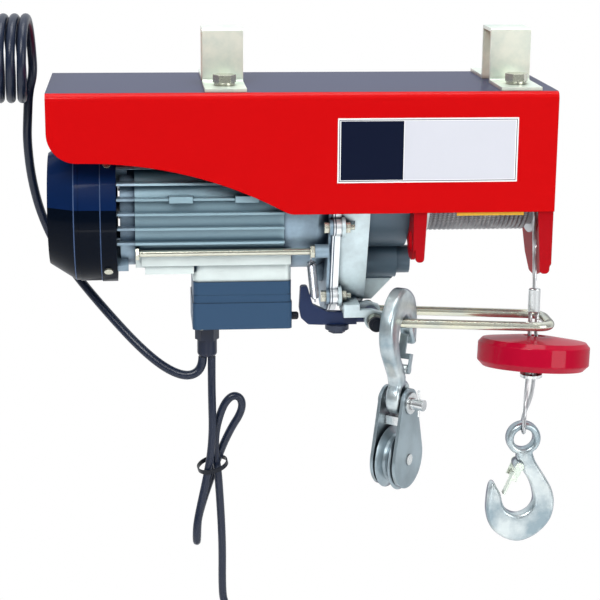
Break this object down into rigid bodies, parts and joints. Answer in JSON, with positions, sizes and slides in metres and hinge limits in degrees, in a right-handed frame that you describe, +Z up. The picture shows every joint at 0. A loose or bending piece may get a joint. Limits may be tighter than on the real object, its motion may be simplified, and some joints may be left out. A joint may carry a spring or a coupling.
{
  "type": "electric rope hoist",
  "caption": "Compact electric wire-rope hoist with a folded cover, finned motor, gearbox, drum, limit bail with weight, load hook and snatch block, hung by two straps under a bar.",
  "frame": {"origin": "centre of the bar's seat on the top plate, midway between the two straps", "axes": "+X along the hoist from the motor towards the rope's end, +Y away from the front, +Z up"},
  "size_m": [0.5946, 0.1662, 0.8233],
  "materials": {
    "red_paint": "gloss",
    "weight_paint": "gloss",
    "black_paint": "gloss",
    "grey_paint": "satin",
    "cast_aluminium": "satin",
    "zinc": "satin",
    "steel": "satin",
    "gear_steel": "satin",
    "cast_iron": "matte",
    "copper": "satin",
    "bronze": "satin",
    "navy_steel": "gloss",
    "yellow_plastic": "gloss",
    "black_plastic": "matte",
    "grey_plastic": "matte",
    "green_plastic": "gloss",
    "white_plastic": "gloss",
    "red_plastic": "gloss",
    "cord_rubber": "matte"
  },
  "bodies": {
    "frame": {"cover_shell": "red_paint", "end_plate_right": "red_paint", "drum_plate_left": "red_paint", "rope_guard": "yellow_plastic", "clamp_strap_left": "zinc", "clamp_strap_right": "zinc", "clamp_bolts": "zinc", "fan_cover": "black_paint", "case_screws": "zinc", "rear_bell": "cast_aluminium", "stator_housing": "cast_aluminium", "stator_core": "copper", "motor_bearings": "steel", "front_bell": "cast_aluminium", "tie_rods": "zinc", "gear_flange": "cast_aluminium", "gearbox_case": "cast_aluminium", "gearbox_bolts": "zinc", "gear_bearings": "bronze", "drum_bearings": "steel", "box_base": "grey_paint", "box_lid": "grey_paint", "capacitor": "white_plastic", "limit_switch": "black_plastic", "cable_gland": "black_plastic", "gland_nut": "black_plastic", "pivot_pin": "black_plastic", "lever_spring": "steel", "mains_cord": "cord_rubber", "mains_coil": "cord_rubber", "mains_plug": "black_plastic", "pendant_cord": "cord_rubber", "cord_tie": "black_plastic", "pendant_coil": "cord_rubber", "pendant_housing": "yellow_plastic"},
    "rotor_body": {"rotor": "gear_steel", "fan": "black_plastic"},
    "counter_body": {"counter_gear": "gear_steel"},
    "drum_body": {"output_gear": "gear_steel", "drum": "steel", "rope_winding": "steel"},
    "load_line": {"rope_fall": "steel", "rope_sleeves": "zinc", "rope_eye": "steel", "weight": "weight_paint"},
    "load_hook_body": {"load_hook": "zinc"},
    "load_latch_body": {"load_latch": "zinc"},
    "lever_body": {"limit_lever": "navy_steel", "lever_bolt": "cast_iron", "bail": "zinc"},
    "plunger_body": {"switch_plunger": "black_plastic"},
    "block_hook_body": {"block_hook": "zinc"},
    "block_latch_body": {"block_latch": "zinc"},
    "block_body": {"block_plates": "steel", "block_pins": "zinc"},
    "sheave_body": {"sheave": "cast_iron"},
    "up_button_body": {"up_button": "white_plastic"},
    "down_button_body": {"down_button": "black_plastic"},
    "stop_button_body": {"stop_button": "red_plastic"}
  },
  "joints": [
    {"name": "drum_spin", "type": "hinge", "parent": "frame", "child": "drum_body", "pos_m": [0.1, 0, -0.093], "axis": [1, 0, 0], "range_deg": [-11, 605]},
    {"name": "counter_spin", "type": "hinge", "parent": "frame", "child": "counter_body", "pos_m": [0, 0, -0.16], "axis": [1, 0, 0], "range_deg": [-3439, 53]},
    {"name": "rotor_spin", "type": "hinge", "parent": "frame", "child": "rotor_body", "pos_m": [-0.14, 0, -0.11], "axis": [1, 0, 0], "range_deg": [-208, 13752]},
    {"name": "hook_lift", "type": "slide", "parent": "frame", "child": "load_line", "axis": [0, 0, 1], "range_m": [-0.4, 0.006], "deforming": ["rope_fall"]},
    {"name": "load_swing", "type": "hinge", "parent": "load_line", "child": "load_hook_body", "pos_m": [0.1456, -0.038, -0.3135], "axis": [0, 1, 0], "range_deg": [-20, 20]},
    {"name": "load_latch_swing", "type": "hinge", "parent": "load_hook_body", "child": "load_latch_body", "pos_m": [0.14166, -0.038, -0.34491], "axis": [0, -1, 0], "range_deg": [0, 38], "stiffness_Nm_per_rad": 0.05, "springref_deg": -17.19},
    {"name": "limit_lever_swing", "type": "hinge", "parent": "frame", "child": "lever_body", "pos_m": [0.005, -0.038, -0.2025], "axis": [0, -1, 0], "range_deg": [0, 8], "deforming": ["lever_spring"]},
    {"name": "plunger_press", "type": "slide", "parent": "frame", "child": "plunger_body", "axis": [-1, 0, 0], "range_m": [0, 0.001]},
    {"name": "block_swing", "type": "hinge", "parent": "lever_body", "child": "block_hook_body", "pos_m": [0.026, -0.0604, -0.20347], "axis": [0.9989, 0, -0.0462], "range_deg": [-15, 15]},
    {"name": "block_latch_swing", "type": "hinge", "parent": "block_hook_body", "child": "block_latch_body", "pos_m": [0.02757, -0.05767, -0.24571], "axis": [0.866, -0.5, 0], "range_deg": [0, 38], "stiffness_Nm_per_rad": 0.05, "springref_deg": -17.19},
    {"name": "block_plate_swing", "type": "hinge", "parent": "block_hook_body", "child": "block_body", "pos_m": [0.02624, -0.05998, -0.27488], "axis": [0.7986, -0.6018, 0], "range_deg": [-20, 20]},
    {"name": "sheave_spin", "type": "hinge", "parent": "block_body", "child": "sheave_body", "pos_m": [0.02624, -0.05998, -0.32738], "axis": [0.7986, -0.6018, 0], "continuous": true},
    {"name": "up_button_press", "type": "slide", "parent": "frame", "child": "up_button_body", "axis": [0, 1, 0], "range_m": [0, 0.0025], "stiffness_N_per_m": 400},
    {"name": "down_button_press", "type": "slide", "parent": "frame", "child": "down_button_body", "axis": [0, 1, 0], "range_m": [0, 0.0025], "stiffness_N_per_m": 400},
    {"name": "stop_button_press", "type": "slide", "parent": "frame", "child": "stop_button_body", "axis": [0, 1, 0], "range_m": [0, 0.003], "stiffness_N_per_m": 500}
  ],
  "couplings": [
    {"joint": "drum_spin", "follows": "hook_lift", "rad_per_m": -26.316},
    {"joint": "counter_spin", "follows": "hook_lift", "rad_per_m": 150},
    {"joint": "rotor_spin", "follows": "hook_lift", "rad_per_m": -600},
    {"joint": "plunger_press", "follows": "limit_lever_swing", "m_per_rad": 0.0058}
  ]
}
